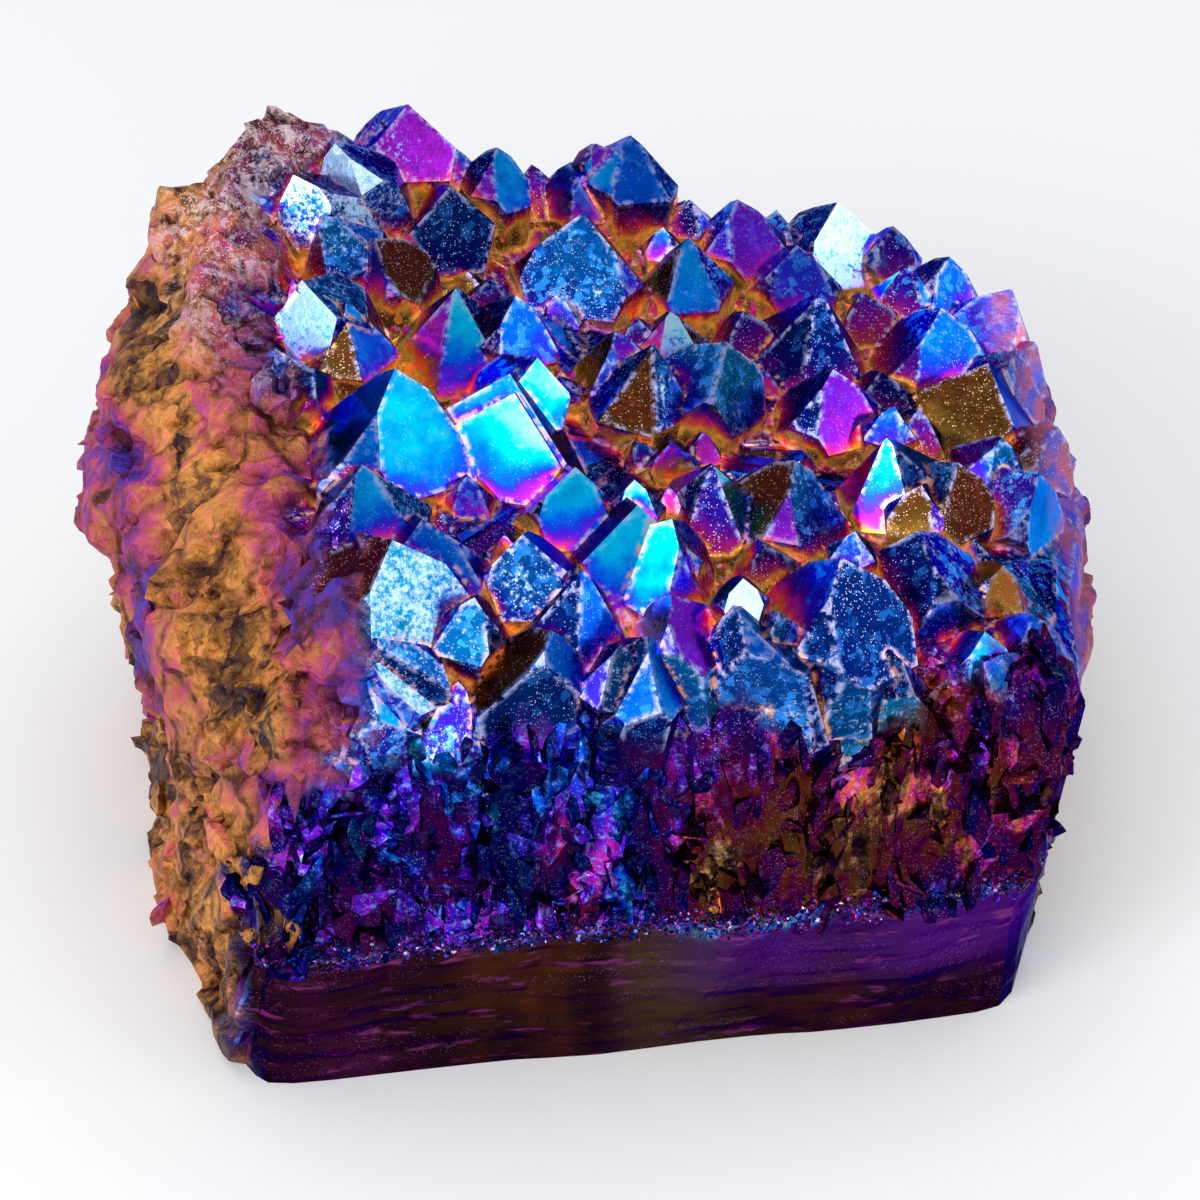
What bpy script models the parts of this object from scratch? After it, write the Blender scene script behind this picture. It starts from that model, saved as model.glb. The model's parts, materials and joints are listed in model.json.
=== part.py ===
"""Aura quartz cluster: a block broken out of a geode wall, with quartz points standing on its top.

One solid. The wall is a closed skin stretched over a cage of stations (places round the block) and
levels (foot, band, waist, shoulder, rim). Each quartz point is a six-sided prism with a six-sided
pyramid, cut from a block by planes at quartz's own angles. The points along the front end at the
break that the block was split by, and all of them are fused to the wall.

Millimetres in the tables and functions, metres in the meshes. +Z is up, +Y runs from the broken
front to the back, and the origin is under the middle of the finished block's bounding box.
"""

import itertools
import math
import random

import bmesh
import bpy
from mathutils import Matrix, Vector, noise

MM = 0.001
SEED = 11

# The block's cage. Each station lists foot, band, waist, shoulder and rim as (x, y, z).
CAGE = {
    "front_left": [(-38, -36, 0), (-36, -36, 18), (-32, -36, 34), (-28, -35, 46), (-25, -32, 53)],
    "front_mid_left": [(-13, -36, 0), (-12, -36, 18), (-11, -35.5, 33), (-10, -34, 43), (-9, -31, 48)],
    "front_mid_right": [(14, -36, 0), (14, -36, 18), (14, -35.5, 32), (14, -34, 41), (13, -31, 46)],
    "front_right": [(37, -35, 0), (37.4, -35, 17), (39, -34.5, 32), (38, -34, 40), (35, -31, 45)],
    "right_front": [(44, -17, 0), (46, -16, 17), (48, -16, 30), (45, -16, 40), (39, -16, 44)],
    "right_mid": [(48, 3, 0), (50, 4, 16), (51, 4, 29), (50, 4, 38), (44, 3, 42)],
    "right_back": [(47, 23, 0), (50, 24, 14), (52, 24, 26), (51, 23, 34), (45, 20, 38)],
    "back_right": [(38, 36, 0), (40, 38, 14), (42, 39, 26), (41, 39, 35), (36, 34, 40)],
    "back_mid": [(10, 38, 0), (10, 41, 17), (10, 42, 32), (10, 41, 42), (10, 36, 48)],
    "back_mid_left": [(-12, 38, 0), (-12, 41, 18), (-13, 42, 36), (-13, 41, 49), (-12, 36, 56)],
    "back_left": [(-30, 37, 0), (-32, 40, 20), (-33, 41, 40), (-33, 41, 58), (-28, 37, 68)],
    "left_back": [(-46, 26, 0), (-49, 27, 20), (-49, 27, 40), (-43, 27, 58), (-35, 26, 66)],
    "left_mid": [(-49, 6, 0), (-48, 8, 17), (-51, 7, 37), (-49, 8, 50), (-38, 8, 61)],
    "left_front": [(-48, -12, 0), (-45, -13, 18), (-45, -14, 34), (-42, -14, 45), (-33, -13, 54)],
    "left_corner": [(-43, -26, 0), (-41, -27, 18), (-39, -27, 34), (-35, -26, 45), (-29, -25, 52)],
}
STEPS_ROUND = 6
STEPS_UP = [2, 4, 4, 3]
STEPS_IN = 5

# Heights of the surface that the quartz tips reach, at the corners of the top.
TIP_CORNERS = {"front_left": 62, "front_right": 55, "back_left": 70, "back_right": 46}
TIP_SPAN_X = (-38, 42)
TIP_SPAN_Y = (-36, 38)
FLOOR_DEPTH = 8.8

# Quartz's own angle between a pyramid face's normal and the long axis.
PYRAMID_SLOPE = math.radians(51.8)
CROWDING_DEPTH = 0.4
ROOT_DEPTH = 9

# The quartz points: tip x, tip y, lift above the tip surface, radius, lean towards +X and +Y in
# degrees, the turn of the front face from -Y towards +X in degrees, and how far every second face
# crowds out the others.
POINTS = [
    # back row, left to right
    (-19, 37.5, 1, 2.8, -4, 8, 0, 0.1), (-15.5, 38, 3, 6.4, 14, 8, 20, 0.8),
    (-11, 38.5, -1.5, 4.8, 4, 14, 10, 0.3), (-7, 34.5, -2, 2.2, 0, 4, 5, 0.2),
    (-6.5, 36, 1, 4.6, 8, 10, 40, 0.3), (1.5, 38, -0.5, 5.2, -4, 4, -50, 0.3),
    (4.5, 39.5, 1.5, 3.2, -8, 6, 20, 0.4), (8, 38.5, 4, 5.8, 6, 8, 10, 0.2),
    (14, 35.5, -1, 3.4, 0, 6, -20, 0.3), (-2.5, 40, -3, 4.4, 0, 16, 12, 0.1),
    (14, 38.5, -3, 4.8, 4, 14, 30, 0.5), (19, 34, 1, 6, 0, 8, 25, 0.3),
    (24, 37.5, -1.5, 5, 4, 14, -20, 0.4), (30.5, 36.5, 1.5, 6.6, 12, 10, 25, 0.75),
    (36.5, 35, 0.5, 4.2, 8, 8, 10, 0.4), (41.5, 29, 1, 5.8, 14, 8, 20, 0.4),
    (37, 27.5, 0, 4.2, 4, 4, -30, 0.3), (47.5, 24.5, 0.5, 6.4, 20, 8, -40, 0.5),
    (49, 19, -3, 4.6, 26, 4, 30, 0.2),
    # second row
    (-23.5, 31, 1.5, 5.4, -20, 6, -30, 0.3), (-28, 26, 0.5, 5, -24, 2, -10, 0.5),
    (-25.5, 21.5, -0.5, 5.2, -18, 0, 20, 0.3), (-20.5, 19.5, -1, 6, -8, 2, -50, 0.6),
    (-12, 29, 0, 6.4, 10, 0, 15, 0.85), (1.5, 27, 0.5, 8.2, 4, 4, -15, 0.6),
    (10.5, 30.5, -2, 2.8, 0, 4, -20, 0.3), (12.5, 26, 0, 5.6, 2, 4, 3, 0.05),
    (24.5, 28, 0, 5.6, 4, 4, 5, 0.5), (25, 17, 1, 8, 12, 6, 22, 0.1), (38, 17, 1, 7.6, 6, 4, 20, 0.5),
    (45, 12, -0.5, 5.8, 18, 4, 40, 0.3), (17, 17, -2.5, 5, -4, 4, 16, 0.5),
    (-9, 18, -3, 4.6, 8, 6, 4, 0.3), (31, 24, -2.5, 4.4, -6, 6, 10, 0.7),
    # middle rows
    (-28, 9.5, 0.5, 5.4, -20, 0, -30, 0.8), (-24, 7.5, 0, 5.2, 4, 0, 50, 0.1),
    (-13, 11, 0.5, 7.8, 2, 2, 12, 0), (-7, 11.5, 0, 5.8, 12, 8, 30, 0.5),
    (2.5, 8.5, -1, 5.4, -2, 10, -80, 0.2), (9, 14.5, -2, 3.4, 0, 4, 10, 0.3),
    (6, 5, 0.5, 6.4, 12, 4, 40, 0), (13.5, 6.5, 0.5, 6.4, 14, 6, 43, 0.7),
    (24, 4, 0, 5.8, 4, 4, 20, 0.4), (41, 8, 0, 8, 6, 4, -40, 0.9), (47, 1, -3, 5.2, 26, -2, 20, 0.3),
    (30, 9, -3, 4.6, 0, 2, 12, 0.4), (-20, -3.5, 1.5, 9.4, 8, 12, -85, 0.4),
    (-9, -2.5, 1, 10.2, 8, -2, -20, 0.95), (-8.8, -4.5, 0.3, 8.4, 8, -2, -20, 0.95),
    (-6, 1, 0.5, 5.2, 22, 4, 25, 0.8), (29.5, -0.5, -1, 3.2, 4, 2, -30, 0.4),
    (32, 0, -1.5, 4.6, 8, 2, 15, 0.3), (-31, 2, -2.5, 4, -16, 4, 10, 0.5),
    # crystals round the hollow in the middle
    (6.5, -4.5, -4.5, 3.2, 0, -10, 0, 0.6), (5, -13.5, -3, 2.6, 0, 0, -10, 0.2),
    (9, -13.5, 0, 6.2, 2, -2, 58, 0), (17, -13, 0.5, 7, 10, 4, 48, 0.3),
    (27, -8.5, 0.5, 7, -10, 6, -28, 0.1), (39.5, -5, -1, 4.4, 14, -2, 20, 0.3),
    (42.5, -9, -2.5, 7, 24, -4, 50, 0.6), (33.5, -11.5, 0, 5.4, 10, 0, 35, 0.5),
    (29.5, -13.5, -1.5, 3.8, 0, 0, -30, 0.4), (-4, -13.5, -1, 6, 4, 4, 0, 0.5),
    (1.5, -14.5, -1.5, 3.2, 2, 2, 0, 0.3), (-24, -15.5, 0, 6.4, -2, 2, 12, 0.1),
    # towards the front
    (-19, -22, -0.5, 6.4, 0, 0, 10, 0.4), (-22, -26, 0.6, 10.4, 6, -4, 32, 0.4),
    (-10, -23.5, -0.8, 5.6, -6, 4, -12, 0.5), (1, -20.5, 0.4, 7.8, 4, 0, 2, 0.95),
    (4, -22, 0, 7.2, 12, 0, 78, 0.4), (21.5, -21.5, -1.5, 2.8, 4, 0, -30, 0.2),
    (27.5, -21.5, -1.2, 7, -4, 8, -45, 0.5), (19, -27, -0.3, 8.8, 4, 8, -85, 0.5),
    (9.5, -29.5, -0.8, 2.8, 0, -4, 0, 0.5), (3, -29, -3.2, 5.2, -6, 12, -78, 0.5),
    (-5, -27, -2, 6.6, 12, 2, 33, 0.1), (36, -22, -5, 5, 16, -4, 12, 0.3),
    (-15, -29, -3.5, 4.4, 6, -4, -20, 0.3), (13, -20.5, -4, 4, -4, -6, 10, 0.4),
    # the front row, cut off by the break
    (-24, -32.5, -5, 6, -6, -4, 40, 0.5), (-8.5, -32.5, -4.3, 6.8, 12, 0, 42, 0.3),
    (-2.2, -33, -5.7, 4.8, 4, -2, 10, 0.2), (0.5, -33, -4.8, 6, 6, -6, 50, 0.1),
    (8.5, -31.5, -2.6, 6.8, -14, 4, -40, 0.2), (12.5, -31.5, -3.2, 9.2, 14, 2, 36, 0.5),
    (23, -32.5, -7.2, 6.2, 4, -2, 0, 0.3), (32.4, -30.5, -6.7, 6.8, 10, 4, -100, 0.4),
    (33.3, -33, -7.6, 6.2, -10, 2, -50, 0.6), (37.5, -28, -6.6, 5.6, 8, -4, 35, 0.3),
]

# Columns that the break laid bare from the front row down to the band: as above, with their length.
COLUMNS = [
    (-31, -30, -9, 6.4, -6, -3, 10, 0.6, 26), (-24, -32, -9, 6, -3, -4, 35, 0.3, 28),
    (-17, -33, -10, 6.2, 3, -4, -12, 0.2, 26), (-10, -33, -9, 6.6, 2, -4, 20, 0.3, 28),
    (-4, -34, -12, 5, 2, -4, -25, 0.3, 22), (2, -33, -9, 6, 1, -4, 30, 0.2, 28),
    (8.5, -33, -8, 6.6, -3, -4, -10, 0.4, 28), (15, -33, -8, 7, 3, -4, 25, 0.3, 28),
    (21, -34, -13.5, 5, 2, -4, -20, 0.3, 20), (26, -33, -11, 6, 2, -4, 12, 0.2, 24),
    (32, -33, -11, 6, 1, -4, -30, 0.5, 22), (38, -30, -10, 5.6, 4, -3, 35, 0.3, 24),
    (30.2, -34.5, -12.7, 4, 2, -4, -10, 0.4, 16), (-12, -34.5, -13, 4.6, 2, -4, 25, 0.2, 18),
]

# The break across the front: every growth there ends at its own plane near this one.
BREAK_Y = -36.4
BREAK_FROM_Y = -18

# Small points in the grooves between the others stand on a loose grid.
GROOVE_GRID = 8
GROOVE_X = (-28, 39)
GROOVE_Y = (-26, 33)

# Angular blocks fused to the walls: centre, half sizes, lean in degrees about X, seed. The first is
# a knob high on the left side, the others are rubble of the broken front.
LUMPS = [
    ((-39.5, 25, 61), (3, 3.4, 3.6), 20, 1), ((36, -33, 25), (4.4, 3, 6), 8, 11),
    ((-34, -33, 24), (4.6, 3, 6), -6, 12), ((-25, -33, 22), (5, 3, 5), 0, 13),
    ((-30, -32, 33), (4, 3, 7), -8, 14), ((20, -33.4, 24), (5, 3, 6), -4, 16),
    ((29, -33.5, 24), (4.6, 3, 5), 0, 17), ((6, -33.8, 23), (4.8, 2.8, 6), 4, 18),
]


def tip_surface(x, y):
    """Height in mm that the quartz tips reach above (x, y)."""
    u = (x - TIP_SPAN_X[0]) / (TIP_SPAN_X[1] - TIP_SPAN_X[0])
    v = (y - TIP_SPAN_Y[0]) / (TIP_SPAN_Y[1] - TIP_SPAN_Y[0])
    front = TIP_CORNERS["front_left"] * (1 - u) + TIP_CORNERS["front_right"] * u
    back = TIP_CORNERS["back_left"] * (1 - u) + TIP_CORNERS["back_right"] * u
    return front * (1 - v) + back * v


def between(a, b, c, d, t):
    """Catmull-Rom from b to c, a little tightened so that the block keeps its corners."""
    tension = 0.32
    m1 = (c - a) * tension
    m2 = (d - b) * tension
    t2, t3 = t * t, t * t * t
    return b * (2 * t3 - 3 * t2 + 1) + m1 * (t3 - 2 * t2 + t) + c * (3 * t2 - 2 * t3) + m2 * (t3 - t2)


def ring_of(level):
    """The cage's closed outline at one level, with STEPS_ROUND points a station."""
    marks = [Vector(station[level]) for station in CAGE.values()]
    count = len(marks)
    ring = []
    for i in range(count):
        a, b, c, d = (marks[(i + k) % count] for k in (-1, 0, 1, 2))
        ring += [between(a, b, c, d, step / STEPS_ROUND) for step in range(STEPS_ROUND)]
    return ring


def roughness(point, outward):
    """How far the broken wall stands out at a point, in mm."""
    side = max(0.0, -outward.x)
    front = max(0.0, -outward.y)
    # slanting flakes on the left side, upright splinters on the front, plain lumps elsewhere
    slant = Vector((point.x * 0.05, point.y * 0.07 + point.z * 0.09, point.z * 0.05 - point.y * 0.03))
    flakes = noise.ridged_multi_fractal(slant * 1.6, 1.0, 2.1, 3, 1.0, 2.0) - 1.1
    splinters = noise.ridged_multi_fractal(
        Vector((point.x * 0.16, 3.1, point.z * 0.05)), 1.0, 2.1, 2, 1.0, 2.0) - 1.1
    lumps = noise.fractal(point * 0.07 + Vector((5.2, 1.3, 8.8)), 1.0, 2.0, 3)
    above_band = min(1.0, max(0.0, (point.z - 16) / 6))
    return side * flakes * 2.6 + front * above_band * splinters * 1.5 + lumps * 1.6


def wall_rows():
    """Rows of points from the foot up to the rim."""
    rings = [ring_of(level) for level in range(5)]
    rows = []
    for level, steps in enumerate(STEPS_UP):
        for step in range(steps):
            t = step / steps
            lower = rings[max(level - 1, 0)]
            upper = rings[min(level + 2, 4)]
            rows.append([
                between(a, b, c, d, t)
                for a, b, c, d in zip(lower, rings[level], rings[level + 1], upper)
            ])
    rows.append(rings[4])
    return rows


def roughened(rows):
    """The rows with the wall's roughness added, outwards in plan."""
    made = []
    for row in rows:
        new = []
        for i, point in enumerate(row):
            along = row[(i + 1) % len(row)] - row[i - 1]
            outward = Vector((along.y, -along.x, 0)).normalized()
            fade = min(1.0, 0.35 + point.z / 14)
            new.append(point + outward * roughness(point, outward) * fade)
        made.append(new)
    return made


def block_mesh():
    """The block as one closed skin: foot, wall, and a top that dips to the floor between the points."""
    smooth_rows = wall_rows()
    rows = roughened(smooth_rows)
    middle = Vector((4, 0, 0))
    rim = smooth_rows[-1]
    for step in range(1, STEPS_IN):
        s = 1 - step / STEPS_IN
        ring = []
        for point in rim:
            x = middle.x + (point.x - middle.x) * s
            y = middle.y + (point.y - middle.y) * s
            floor = tip_surface(x, y) - FLOOR_DEPTH
            blend = min(1.0, (1 - s) * 4)
            bump = noise.fractal(Vector((x * 0.12, y * 0.12, 2.7)), 1.0, 2.0, 2) * 1.6
            ring.append(Vector((x, y, point.z * (1 - blend) + floor * blend + bump)))
        rows.append(ring)
    bm = bmesh.new()
    count = len(rim)
    rings = [[bm.verts.new(p * MM) for p in row] for row in rows]
    for low, high in zip(rings, rings[1:]):
        for i in range(count):
            j = (i + 1) % count
            bm.faces.new((low[i], low[j], high[j], high[i]))
    top = bm.verts.new(Vector((middle.x, middle.y, tip_surface(middle.x, middle.y) - FLOOR_DEPTH)) * MM)
    foot = bm.verts.new(Vector((middle.x, middle.y, 0)) * MM)
    for i in range(count):
        j = (i + 1) % count
        bm.faces.new((rings[-1][i], rings[-1][j], top))
        bm.faces.new((rings[0][j], rings[0][i], foot))
    bmesh.ops.recalc_face_normals(bm, faces=bm.faces)
    return bm


def cut_away(bm, point, normal):
    """Cuts off what lies beyond a plane and closes the cut with one flat face."""
    cut = bmesh.ops.bisect_plane(
        bm, geom=bm.verts[:] + bm.edges[:] + bm.faces[:], dist=1e-7,
        plane_co=point, plane_no=normal, clear_outer=True)
    edges = [e for e in cut["geom_cut"] if isinstance(e, bmesh.types.BMEdge)]
    if edges:
        bmesh.ops.contextual_create(bm, geom=edges)


def quartz_point(radius, length, crowding, uneven):
    """A quartz point with its tip at the origin and its length down -Z, in mm. Every second pyramid
    face is larger: `crowding` is 0 where all six are alike and 1 where three crowd out the rest."""
    bm = bmesh.new()
    bmesh.ops.create_cube(bm, size=4 * radius + 2 * length)
    cut_away(bm, Vector((0, 0, -length)), Vector((0, 0, -1)))
    for side in range(6):
        turn = math.radians(60 * side - 90)
        across = Vector((math.cos(turn), math.sin(turn), 0))
        reach = radius * math.cos(math.radians(30)) * uneven.uniform(0.88, 1.08)
        cut_away(bm, across * reach, across)
        slope = across * math.sin(PYRAMID_SLOPE) + Vector((0, 0, math.cos(PYRAMID_SLOPE)))
        depth = uneven.uniform(0, 0.05) + (0 if side % 2 else CROWDING_DEPTH * crowding)
        cut_away(bm, slope * -radius * depth, slope)
    tip = max((v.co for v in bm.verts), key=lambda co: co.z).copy()
    bmesh.ops.translate(bm, vec=-tip, verts=bm.verts)
    return bm


def planted(tip, radius, length, lean_x, lean_y, turn, crowding, uneven):
    """A quartz point moved to its tip's place, leant and turned. Its mesh is in metres."""
    bm = quartz_point(radius, length, crowding, uneven)
    lean = Matrix.Rotation(math.radians(lean_x), 4, "Y") @ Matrix.Rotation(-math.radians(lean_y), 4, "X")
    place = Matrix.Translation(tip) @ lean @ Matrix.Rotation(math.radians(turn), 4, "Z")
    bm.transform(Matrix.Scale(MM, 4) @ place)
    return bm


def broken_off(bm, x, uneven):
    """Cuts off what stands out beyond the break across the front, at its own slightly tilted plane."""
    across = Vector((uneven.uniform(-0.18, 0.18), -1, uneven.uniform(-0.08, 0.14))).normalized()
    cut_away(bm, Vector((x, BREAK_Y + uneven.uniform(-0.9, 0.6), 34)) * MM, across)
    return bm


def lump(centre, half, slant, seed):
    """An angular block: the hull of a box whose corners are pulled about."""
    draw = random.Random(seed)
    bm = bmesh.new()
    for signs in itertools.product((-1, 1), repeat=3):
        bm.verts.new(Vector([sign * reach * draw.uniform(0.55, 1.1) for sign, reach in zip(signs, half)]))
    bmesh.ops.convex_hull(bm, input=bm.verts[:])
    place = Matrix.Translation(Vector(centre)) @ Matrix.Rotation(math.radians(slant), 4, "X")
    bm.transform(Matrix.Scale(MM, 4) @ place)
    return bm


def groove_spots():
    """Where a small point fits between the large ones, as (x, y, radius)."""
    draw = random.Random(SEED)
    taken = [(row[0], row[1], row[3]) for row in POINTS + COLUMNS]
    spots = []
    for row in range(int((GROOVE_Y[1] - GROOVE_Y[0]) / GROOVE_GRID) + 1):
        for column in range(int((GROOVE_X[1] - GROOVE_X[0]) / GROOVE_GRID) + 1):
            x = GROOVE_X[0] + (column + draw.uniform(-0.3, 0.3)) * GROOVE_GRID
            y = GROOVE_Y[0] + (row + draw.uniform(-0.3, 0.3)) * GROOVE_GRID
            radius = draw.uniform(2.2, 3.4)
            if all(math.hypot(x - tx, y - ty) > 0.8 * tr for tx, ty, tr in taken):
                spots.append((x, y, radius))
    return spots


def add_object(name, bm, collection):
    mesh = bpy.data.meshes.new(name)
    bmesh.ops.recalc_face_normals(bm, faces=bm.faces)
    bm.to_mesh(mesh)
    bm.free()
    obj = bpy.data.objects.new(name, mesh)
    collection.objects.link(obj)
    return obj


def add_growths(collection):
    """Every quartz point and lump, as separate closed shapes to fuse with the block."""
    uneven = random.Random(SEED)
    for i, (x, y, lift, radius, lean_x, lean_y, turn, crowding, *column) in enumerate(POINTS + COLUMNS):
        tip = Vector((x, y, tip_surface(x, y) + lift))
        length = column[0] if column else 1.1 * radius + ROOT_DEPTH
        bm = planted(tip, radius, length, lean_x, lean_y, turn, crowding, uneven)
        if y < BREAK_FROM_Y:
            broken_off(bm, x, uneven)
        add_object(f"point_{i}", bm, collection)
    for i, (x, y, radius) in enumerate(groove_spots()):
        tip = Vector((x, y, tip_surface(x, y) - uneven.uniform(4.5, 6.5)))
        lean_x, lean_y = uneven.uniform(-18, 18), uneven.uniform(-18, 18)
        turn, crowding = uneven.uniform(-30, 30), uneven.uniform(0, 0.6)
        bm = planted(tip, radius, ROOT_DEPTH, lean_x, lean_y, turn, crowding, uneven)
        add_object(f"small_{i}", bm, collection)
    for i, row in enumerate(LUMPS):
        add_object(f"lump_{i}", lump(*row), collection)


def aura_material():
    material = bpy.data.materials.new("aura_coat")
    material.use_nodes = True
    shader = material.node_tree.nodes["Principled BSDF"]
    shader.inputs["Base Color"].default_value = (0.08, 0.10, 0.45, 1)
    shader.inputs["Metallic"].default_value = 0.8
    shader.inputs["Roughness"].default_value = 0.3
    return material


def keep_largest_shell(mesh):
    """Removes the small pockets that stay enclosed where several points meet."""
    bm = bmesh.new()
    bm.from_mesh(mesh)
    unseen = set(bm.verts)
    shells = []
    while unseen:
        shell = [unseen.pop()]
        for vert in shell:
            for edge in vert.link_edges:
                other = edge.other_vert(vert)
                if other in unseen:
                    unseen.remove(other)
                    shell.append(other)
        shells.append(shell)
    shells.sort(key=len)
    for shell in shells[:-1]:
        bmesh.ops.delete(bm, geom=shell, context="VERTS")
    bm.to_mesh(mesh)
    bm.free()


def stand_on_origin(mesh):
    """Moves the mesh so that the origin is under the middle of its bounding box."""
    across = [vert.co.x for vert in mesh.vertices]
    back = [vert.co.y for vert in mesh.vertices]
    middle = Vector((min(across) + max(across), min(back) + max(back), 0)) / 2
    mesh.transform(Matrix.Translation(-middle))


def fused(block, growths):
    """The block with every growth joined to it, as a plain mesh."""
    union = block.modifiers.new("fuse", "BOOLEAN")
    union.operation = "UNION"
    union.operand_type = "COLLECTION"
    union.collection = growths
    union.solver = "EXACT"
    graph = bpy.context.evaluated_depsgraph_get()
    whole = bpy.data.meshes.new_from_object(block.evaluated_get(graph))
    block.modifiers.clear()
    block.data = whole
    keep_largest_shell(whole)
    for obj in list(growths.objects):
        bpy.data.objects.remove(obj)
    bpy.data.collections.remove(growths)


def main():
    for obj in list(bpy.data.objects):
        bpy.data.objects.remove(obj)
    scene = bpy.context.scene.collection
    growths = bpy.data.collections.new("growths")
    scene.children.link(growths)
    block = add_object("quartz_cluster", block_mesh(), scene)
    add_growths(growths)
    fused(block, growths)
    stand_on_origin(block.data)
    block.data.materials.clear()
    block.data.materials.append(aura_material())
    block.data.shade_flat()


main()
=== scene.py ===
import json
import math
import random

import bmesh
import bpy
import numpy as np
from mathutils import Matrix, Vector, noise
from mathutils.bvhtree import BVHTree

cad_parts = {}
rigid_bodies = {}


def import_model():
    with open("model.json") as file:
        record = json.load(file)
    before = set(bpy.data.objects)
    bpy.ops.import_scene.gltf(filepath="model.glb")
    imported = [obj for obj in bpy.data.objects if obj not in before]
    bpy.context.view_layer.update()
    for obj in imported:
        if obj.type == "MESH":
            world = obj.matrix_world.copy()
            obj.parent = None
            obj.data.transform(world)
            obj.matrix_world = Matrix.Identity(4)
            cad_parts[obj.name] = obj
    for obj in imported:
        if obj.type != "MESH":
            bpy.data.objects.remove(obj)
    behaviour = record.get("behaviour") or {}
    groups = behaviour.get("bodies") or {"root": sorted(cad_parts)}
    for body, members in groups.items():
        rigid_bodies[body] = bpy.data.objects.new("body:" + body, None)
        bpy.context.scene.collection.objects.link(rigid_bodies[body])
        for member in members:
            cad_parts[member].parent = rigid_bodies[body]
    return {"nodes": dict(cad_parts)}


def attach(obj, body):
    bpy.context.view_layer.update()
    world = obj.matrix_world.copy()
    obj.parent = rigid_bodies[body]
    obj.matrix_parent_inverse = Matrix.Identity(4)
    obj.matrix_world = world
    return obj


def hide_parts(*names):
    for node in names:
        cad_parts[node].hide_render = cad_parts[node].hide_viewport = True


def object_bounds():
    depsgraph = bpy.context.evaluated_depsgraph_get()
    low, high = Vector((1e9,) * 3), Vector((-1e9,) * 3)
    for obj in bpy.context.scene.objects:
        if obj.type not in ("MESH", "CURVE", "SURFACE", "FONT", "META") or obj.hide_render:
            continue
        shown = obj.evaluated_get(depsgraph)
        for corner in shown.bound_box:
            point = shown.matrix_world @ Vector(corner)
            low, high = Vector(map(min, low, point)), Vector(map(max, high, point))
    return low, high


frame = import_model()
cadLow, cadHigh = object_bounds()
mm = 0.001
black, white = (0.0, 0.0, 0.0), (1.0, 1.0, 1.0)
noise.seed_set(2)  # noise_vector would follow the clock without it
print("frame loaded")


class Value:  # a socket in a node tree, so that sums can be written as sums
    def __init__(self, nodes, socket):
        self.nodes = nodes
        self.socket = socket

    def maths(self, operation, *others):
        inputs = dict(enumerate((self,) + others))
        return self.nodes.node("ShaderNodeMath", {"operation": operation}, inputs)

    def __add__(self, other):
        return self.maths("ADD", other)

    def __mul__(self, other):
        return self.maths("MULTIPLY", other)

    def __sub__(self, other):
        return self.maths("SUBTRACT", other)

    def __rsub__(self, other):
        return (self * -1) + other

    def __pow__(self, other):
        return self.maths("POWER", other)

    __radd__ = __add__
    __rmul__ = __mul__

    def atLeast(self, other):
        return self.maths("MAXIMUM", other)

    def clamped(self):
        return self.maths("MAXIMUM", 0.0).maths("MINIMUM", 1.0)

    def between(self, low, high):  # 0 at low, 1 at high, smooth in the middle
        inputs = {"Value": self, "From Min": low, "From Max": high}
        return self.nodes.node("ShaderNodeMapRange", {"interpolation_type": "SMOOTHSTEP"}, inputs)


class Nodes:
    def node(self, kind, settings=None, inputs=None, output=0):
        made = self.tree.nodes.new(kind)
        for name, value in (settings or {}).items():
            if name == "stops":
                self.setStops(made.color_ramp, value)
            else:
                setattr(made, name, value)
        for name, value in (inputs or {}).items():
            self.plug(made.inputs[name], value)
        return Value(self, made.outputs[output])

    def setStops(self, ramp, stops):
        while len(ramp.elements) < len(stops):
            ramp.elements.new(1.0)
        for element, (place, colour) in zip(ramp.elements, stops):
            element.position = place
            element.color = (*colour, 1)

    def plug(self, socket, value):
        if isinstance(value, Value):
            self.tree.links.new(value.socket, socket)
        elif isinstance(value, tuple) and len(value) == 3 and socket.type == "RGBA":
            socket.default_value = (*value, 1)
        else:
            socket.default_value = value


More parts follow.
